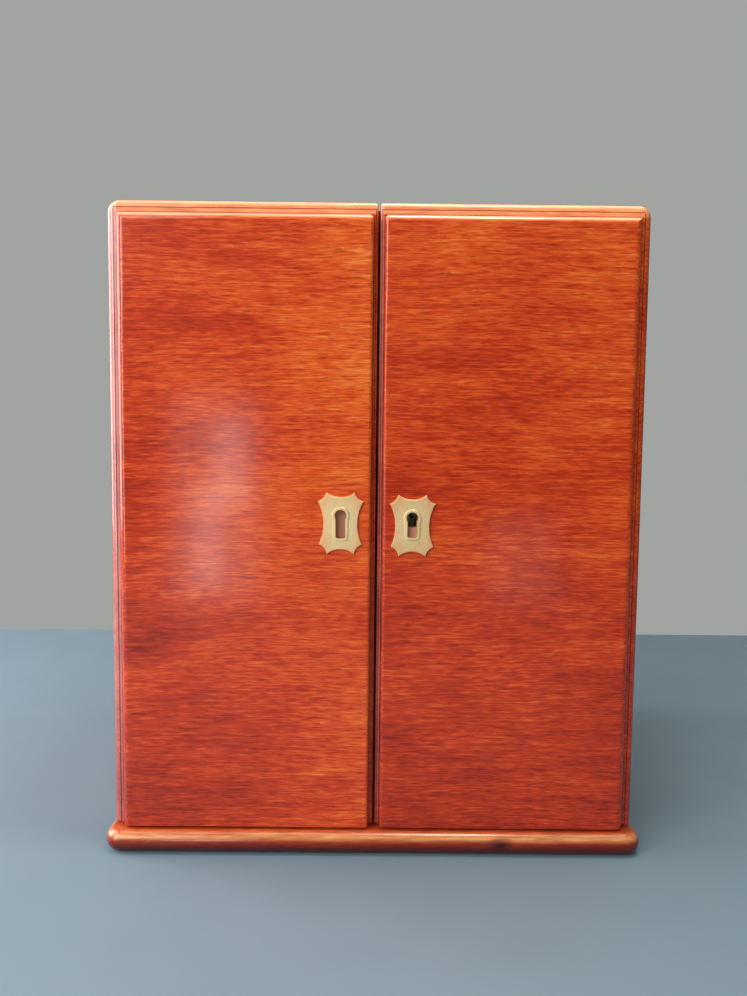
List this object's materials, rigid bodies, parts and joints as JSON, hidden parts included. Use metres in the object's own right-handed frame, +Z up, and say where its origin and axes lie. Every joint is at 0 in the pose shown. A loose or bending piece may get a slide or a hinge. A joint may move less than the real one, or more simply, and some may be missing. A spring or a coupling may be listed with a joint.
{
  "type": "cabinet stereoscope",
  "caption": "Red mahogany table cabinet with two moulded doors and brass keyhole plates, holding a tilting stereo viewer above a rack of card bays.",
  "frame": {"origin": "centre of the plinth's underside, where the cabinet stands on the table", "axes": "+Z up; the doors face -Y; +X to the right of someone who faces the doors"},
  "size_m": [0.281, 0.231, 0.3353],
  "materials": {
    "door_mahogany": "french-polished red mahogany, glossy",
    "case_mahogany": "french-polished red mahogany, glossy",
    "inner_mahogany": "plain mahogany, wax-dull",
    "viewer_mahogany": "polished mahogany, satin",
    "blackened_wood": "blackened, matt",
    "lacquered_brass": "lacquered, satin, lightly tarnished",
    "brass_screws": "turned, satin",
    "steel": "bright steel, dulled",
    "lens_glass": "polished",
    "ground_glass": "frosted",
    "silvered_mirror": "silvered"
  },
  "bodies": {
    "cabinet": {"plinth": "case_mahogany", "plinth_screws": "steel", "floor_board": "inner_mahogany", "top_board": "case_mahogany", "back_panel": "inner_mahogany", "right_side": "case_mahogany", "left_side": "case_mahogany", "shelf": "inner_mahogany", "rack_partitions": "inner_mahogany", "frame_hinge_leaves": "lacquered_brass", "frame_hinge_screws": "brass_screws", "hinge_pins": "lacquered_brass", "bolt_keepers": "lacquered_brass", "viewer_base": "viewer_mahogany", "base_guides": "inner_mahogany", "right_bracket": "lacquered_brass", "left_bracket": "lacquered_brass", "bracket_screws": "brass_screws"},
    "right_door": {"right_door": "door_mahogany", "right_door_leaves": "lacquered_brass", "right_door_screws": "brass_screws", "right_escutcheon": "lacquered_brass", "lock_case": "steel", "lock_cap": "lacquered_brass", "lock_screws": "steel"},
    "left_door": {"left_door": "door_mahogany", "left_door_leaves": "lacquered_brass", "left_door_screws": "brass_screws", "left_escutcheon": "lacquered_brass", "strike_plate": "lacquered_brass", "slide_bolt_plates": "lacquered_brass", "slide_bolt_screws": "brass_screws"},
    "lock_bolt": {"lock_bolt": "lacquered_brass"},
    "lock_tumbler": {"lock_tumbler": "lacquered_brass"},
    "upper_bolt": {"upper_slide_bolt": "lacquered_brass"},
    "lower_bolt": {"lower_slide_bolt": "lacquered_brass"},
    "viewer": {"right_cheek": "viewer_mahogany", "left_cheek": "viewer_mahogany", "viewer_floor": "viewer_mahogany", "viewer_roof": "viewer_mahogany", "septum": "blackened_wood", "card_mask": "blackened_wood", "glass_frame": "blackened_wood", "ground_glass": "ground_glass", "card_springs": "lacquered_brass", "trunnions": "lacquered_brass", "tilt_knobs": "lacquered_brass", "flap_hinge_lugs": "lacquered_brass"},
    "lens_carriage": {"lens_board": "viewer_mahogany", "eyepiece_tubes": "lacquered_brass", "eye_cups": "blackened_wood", "lenses": "lens_glass", "lens_rings": "lacquered_brass", "focus_racks": "lacquered_brass"},
    "focus_pinion": {"focus_shaft": "steel", "focus_knobs": "lacquered_brass"},
    "flap": {"mirror_flap": "viewer_mahogany", "mirror_glass": "silvered_mirror", "flap_hinge_straps": "lacquered_brass", "flap_knob": "lacquered_brass"}
  },
  "joints": [
    {"name": "right_door_swing", "type": "hinge", "parent": "cabinet", "child": "right_door", "pos_m": [0.1379, -0.0913, 0.175], "axis": [0, 0, 1], "range_deg": [0, 175]},
    {"name": "left_door_swing", "type": "hinge", "parent": "cabinet", "child": "left_door", "pos_m": [-0.1379, -0.0913, 0.175], "axis": [0, 0, -1], "range_deg": [0, 175]},
    {"name": "lock_bolt_slide", "type": "slide", "parent": "right_door", "child": "lock_bolt", "axis": [-1, 0, 0], "range_m": [0, 0.005]},
    {"name": "tumbler_lift", "type": "hinge", "parent": "right_door", "child": "lock_tumbler", "pos_m": [0.022, -0.0957, 0.186], "axis": [0, 1, 0], "range_deg": [0, 10], "stiffness_Nm_per_rad": 0.001},
    {"name": "upper_bolt_slide", "type": "slide", "parent": "left_door", "child": "upper_bolt", "axis": [0, 0, 1], "range_m": [0, 0.007]},
    {"name": "lower_bolt_slide", "type": "slide", "parent": "left_door", "child": "lower_bolt", "axis": [0, 0, -1], "range_m": [0, 0.007]},
    {"name": "viewer_tilt", "type": "hinge", "parent": "cabinet", "child": "viewer", "pos_m": [0, 0.012, 0.214], "axis": [1, 0, 0], "range_deg": [-18, 12]},
    {"name": "focus_slide", "type": "slide", "parent": "viewer", "child": "lens_carriage", "axis": [0, -1, 0], "range_m": [-0.005, 0.005]},
    {"name": "focus_turn", "type": "hinge", "parent": "viewer", "child": "focus_pinion", "pos_m": [0, -0.021, 0.1735], "axis": [1, 0, 0], "range_deg": [-75, 75]},
    {"name": "flap_open", "type": "hinge", "parent": "viewer", "child": "flap", "pos_m": [0, -0.025, 0.2682], "axis": [1, 0, 0], "range_deg": [0, 45]}
  ],
  "couplings": [
    {"joint": "focus_turn", "follows": "focus_slide", "rad_per_m": 250}
  ]
}
